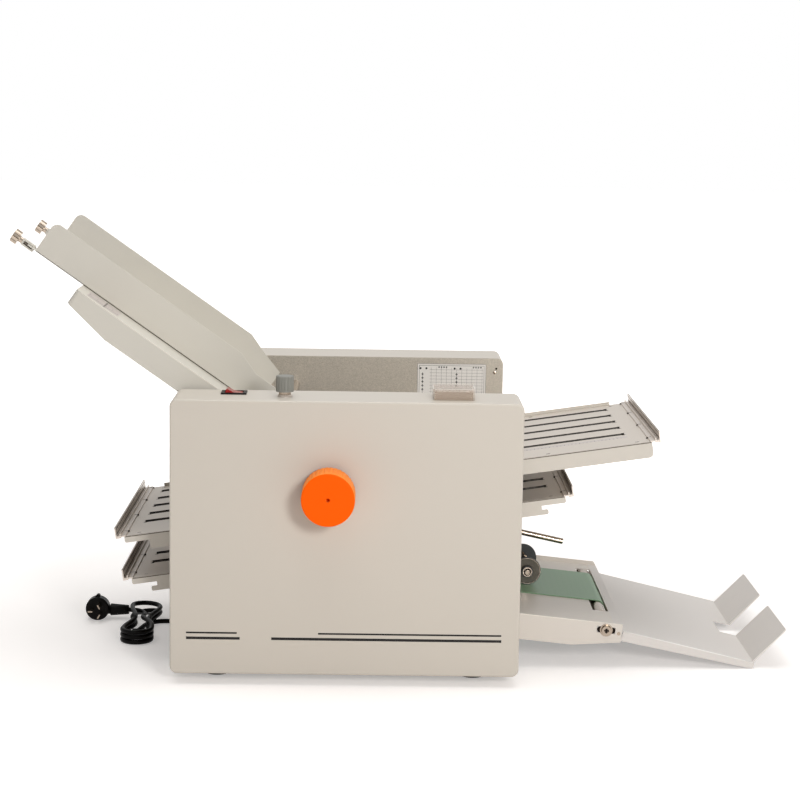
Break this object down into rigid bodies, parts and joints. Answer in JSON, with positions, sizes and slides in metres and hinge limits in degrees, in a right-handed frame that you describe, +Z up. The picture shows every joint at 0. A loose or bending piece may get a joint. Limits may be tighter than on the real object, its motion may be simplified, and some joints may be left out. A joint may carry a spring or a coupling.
{
  "type": "paper folding machine",
  "caption": "Desktop paper folding machine: sloping feed table with side guides, column of geared rollers, slotted buckle plates on both sides, belt delivery and hooked tray.",
  "frame": {"origin": "on the desk, under the centre of the machine's outer box without its cord", "axes": "+X towards the delivery tray, +Y from the hand knob towards the rear cover, +Z up"},
  "size_m": [1.0243, 0.586, 0.5661],
  "materials": {
    "cover_paint": "satin",
    "tray_paint": "satin",
    "galvanised": "satin",
    "bright_steel": "polished",
    "aluminium": "satin",
    "black_rubber": "matte",
    "roller_rubber": "matte",
    "orange_plastic": "glossy",
    "black_plastic": "matte",
    "grey_plastic": "matte",
    "red_plastic": "glossy",
    "green_belt": "matte",
    "bronze": "satin",
    "smoked_plastic": "glossy"
  },
  "bodies": {
    "machine": {"base_plate": "galvanised", "belt_table_axles": "bright_steel", "cord_gland": "black_rubber", "cord_hank": "black_rubber", "cord_lead": "black_rubber", "counter_housing": "smoked_plastic", "delivery_belt": "green_belt", "delivery_table": "cover_paint", "drive_belts": "black_rubber", "entry_guide": "bright_steel", "feed_table": "cover_paint", "frame_studs": "bright_steel", "front_cover": "cover_paint", "front_side_frame": "galvanised", "guide_bar": "bright_steel", "motor": "black_plastic", "power_plug": "black_rubber", "press_rod": "bright_steel", "rear_cover": "cover_paint", "rear_side_frame": "galvanised", "roller_bearings": "bronze", "rubber_feet": "black_rubber", "separator_bracket": "galvanised", "separator_pad": "black_rubber", "speed_knob_nut": "bright_steel", "switch_bezel": "black_plastic", "tie_rods": "bright_steel"},
    "hand_wheel": {"hand_knob": "orange_plastic", "roller_a": "roller_rubber"},
    "roller_b": {"roller_b": "roller_rubber"},
    "roller_c": {"roller_c": "roller_rubber"},
    "roller_d": {"roller_d": "roller_rubber"},
    "roller_e": {"roller_e": "roller_rubber"},
    "roller_f": {"roller_f": "roller_rubber"},
    "feed_roller": {"feed_roller": "roller_rubber"},
    "motor_pulley": {"motor_pulley": "bright_steel"},
    "belt_drive_roller": {"belt_drive_roller": "bright_steel"},
    "belt_idler_roller": {"belt_idler_roller": "bright_steel"},
    "press_carriage": {"press_carriage": "bright_steel"},
    "press_arm": {"press_arm": "bright_steel"},
    "press_wheels": {"press_wheels": "black_rubber"},
    "switch_rocker": {"switch_rocker": "red_plastic"},
    "speed_knob": {"speed_knob": "grey_plastic"},
    "near_side_guide": {"near_side_guide": "cover_paint"},
    "far_side_guide": {"far_side_guide": "cover_paint"},
    "near_guide_screw": {"near_guide_screw": "bright_steel"},
    "far_guide_screw": {"far_guide_screw": "bright_steel"},
    "delivery_tray": {"delivery_tray": "tray_paint"},
    "upper_right_plate": {"upper_right_plate": "galvanised", "upper_right_end_bar": "aluminium"},
    "upper_right_stop": {"upper_right_stop": "aluminium"},
    "upper_left_plate": {"upper_left_plate": "galvanised", "upper_left_end_bar": "aluminium"},
    "upper_left_stop": {"upper_left_stop": "aluminium"},
    "lower_right_plate": {"lower_right_plate": "galvanised", "lower_right_end_bar": "aluminium"},
    "lower_right_stop": {"lower_right_stop": "aluminium"},
    "lower_left_plate": {"lower_left_plate": "galvanised", "lower_left_end_bar": "aluminium"},
    "lower_left_stop": {"lower_left_stop": "aluminium"}
  },
  "joints": [
    {"name": "hand_wheel_turn", "type": "hinge", "parent": "machine", "child": "hand_wheel", "pos_m": [-0.0888, 0.025, 0.2483], "axis": [0, 1, 0], "continuous": true},
    {"name": "roller_b_turn", "type": "hinge", "parent": "machine", "child": "roller_b", "pos_m": [-0.08467, 0.025, 0.22061], "axis": [0, 1, 0], "continuous": true},
    {"name": "roller_c_turn", "type": "hinge", "parent": "machine", "child": "roller_c", "pos_m": [-0.08053, 0.025, 0.19292], "axis": [0, 1, 0], "continuous": true},
    {"name": "roller_d_turn", "type": "hinge", "parent": "machine", "child": "roller_d", "pos_m": [-0.07639, 0.025, 0.16522], "axis": [0, 1, 0], "continuous": true},
    {"name": "roller_e_turn", "type": "hinge", "parent": "machine", "child": "roller_e", "pos_m": [-0.07225, 0.025, 0.13753], "axis": [0, 1, 0], "continuous": true},
    {"name": "roller_f_turn", "type": "hinge", "parent": "machine", "child": "roller_f", "pos_m": [-0.06811, 0.025, 0.10984], "axis": [0, 1, 0], "continuous": true},
    {"name": "feed_roller_turn", "type": "hinge", "parent": "machine", "child": "feed_roller", "pos_m": [-0.16778, 0.025, 0.29368], "axis": [0, 1, 0], "continuous": true},
    {"name": "motor_turn", "type": "hinge", "parent": "machine", "child": "motor_pulley", "pos_m": [-0.2112, 0.025, 0.066], "axis": [0, 1, 0], "continuous": true},
    {"name": "belt_drive_turn", "type": "hinge", "parent": "machine", "child": "belt_drive_roller", "pos_m": [-0.04115, 0.025, 0.08305], "axis": [0, 1, 0], "continuous": true},
    {"name": "belt_idler_turn", "type": "hinge", "parent": "machine", "child": "belt_idler_roller", "pos_m": [0.27349, 0.025, 0.05164], "axis": [0, 1, 0], "continuous": true},
    {"name": "press_wheels_turn", "type": "hinge", "parent": "press_arm", "child": "press_wheels", "pos_m": [0.1808, 0.061, 0.09114], "axis": [0, 1, 0], "continuous": true},
    {"name": "upper_right_plate_slide", "type": "slide", "parent": "machine", "child": "upper_right_plate", "axis": [0.989, 0, 0.1478], "range_m": [0, 0.03]},
    {"name": "upper_right_stop_slide", "type": "slide", "parent": "upper_right_plate", "child": "upper_right_stop", "axis": [0.989, 0, 0.1478], "range_m": [-0.113, 0.225]},
    {"name": "upper_left_plate_slide", "type": "slide", "parent": "machine", "child": "upper_left_plate", "axis": [-0.989, 0, -0.1478], "range_m": [0, 0.03]},
    {"name": "upper_left_stop_slide", "type": "slide", "parent": "upper_left_plate", "child": "upper_left_stop", "axis": [-0.989, 0, -0.1478], "range_m": [-0.063, 0.141]},
    {"name": "lower_right_plate_slide", "type": "slide", "parent": "machine", "child": "lower_right_plate", "axis": [0.989, 0, 0.1478], "range_m": [0, 0.03]},
    {"name": "lower_right_stop_slide", "type": "slide", "parent": "lower_right_plate", "child": "lower_right_stop", "axis": [0.989, 0, 0.1478], "range_m": [-0.073, 0.153]},
    {"name": "lower_left_plate_slide", "type": "slide", "parent": "machine", "child": "lower_left_plate", "axis": [-0.989, 0, -0.1478], "range_m": [0, 0.03]},
    {"name": "lower_left_stop_slide", "type": "slide", "parent": "lower_left_plate", "child": "lower_left_stop", "axis": [-0.989, 0, -0.1478], "range_m": [-0.053, 0.15]},
    {"name": "near_guide_slide", "type": "slide", "parent": "machine", "child": "near_side_guide", "axis": [0, 1, 0], "range_m": [-0.055, 0.055]},
    {"name": "far_guide_slide", "type": "slide", "parent": "machine", "child": "far_side_guide", "axis": [0, 1, 0], "range_m": [-0.055, 0.055]},
    {"name": "near_guide_screw_turn", "type": "hinge", "parent": "near_side_guide", "child": "near_guide_screw", "pos_m": [-0.49456, -0.0735, 0.5436], "axis": [0.8202, 0, -0.5721], "range_deg": [0, 360]},
    {"name": "far_guide_screw_turn", "type": "hinge", "parent": "far_side_guide", "child": "far_guide_screw", "pos_m": [-0.49456, 0.1235, 0.5436], "axis": [0.8202, 0, -0.5721], "range_deg": [0, 360]},
    {"name": "press_carriage_slide", "type": "slide", "parent": "machine", "child": "press_carriage", "axis": [0.9781, 0, -0.2079], "range_m": [-0.035, 0]},
    {"name": "press_arm_lift", "type": "hinge", "parent": "press_carriage", "child": "press_arm", "pos_m": [0.15091, 0.061, 0.13128], "axis": [0, -1, 0], "range_deg": [0, 35]},
    {"name": "switch_tip", "type": "hinge", "parent": "machine", "child": "switch_rocker", "pos_m": [-0.2112, -0.1815, 0.363], "axis": [0, -1, 0], "range_deg": [0, 14]},
    {"name": "speed_knob_turn", "type": "hinge", "parent": "machine", "child": "speed_knob", "pos_m": [-0.1462, -0.203, 0.369], "axis": [0, 0, 1], "range_deg": [0, 270]},
    {"name": "tray_lift", "type": "hinge", "parent": "machine", "child": "delivery_tray", "pos_m": [0.2899, 0.025, 0.04689], "axis": [0, -1, 0], "range_deg": [0, 35]}
  ],
  "couplings": [
    {"joint": "roller_b_turn", "follows": "hand_wheel_turn", "ratio": -1},
    {"joint": "roller_c_turn", "follows": "hand_wheel_turn", "ratio": 1},
    {"joint": "roller_d_turn", "follows": "hand_wheel_turn", "ratio": -1},
    {"joint": "roller_e_turn", "follows": "hand_wheel_turn", "ratio": 1},
    {"joint": "roller_f_turn", "follows": "hand_wheel_turn", "ratio": -1},
    {"joint": "feed_roller_turn", "follows": "hand_wheel_turn", "ratio": -1},
    {"joint": "motor_turn", "follows": "hand_wheel_turn", "ratio": -2.1667},
    {"joint": "belt_drive_turn", "follows": "hand_wheel_turn", "ratio": -1},
    {"joint": "belt_idler_turn", "follows": "hand_wheel_turn", "ratio": -1},
    {"joint": "press_wheels_turn", "follows": "hand_wheel_turn", "ratio": 0.56842}
  ]
}
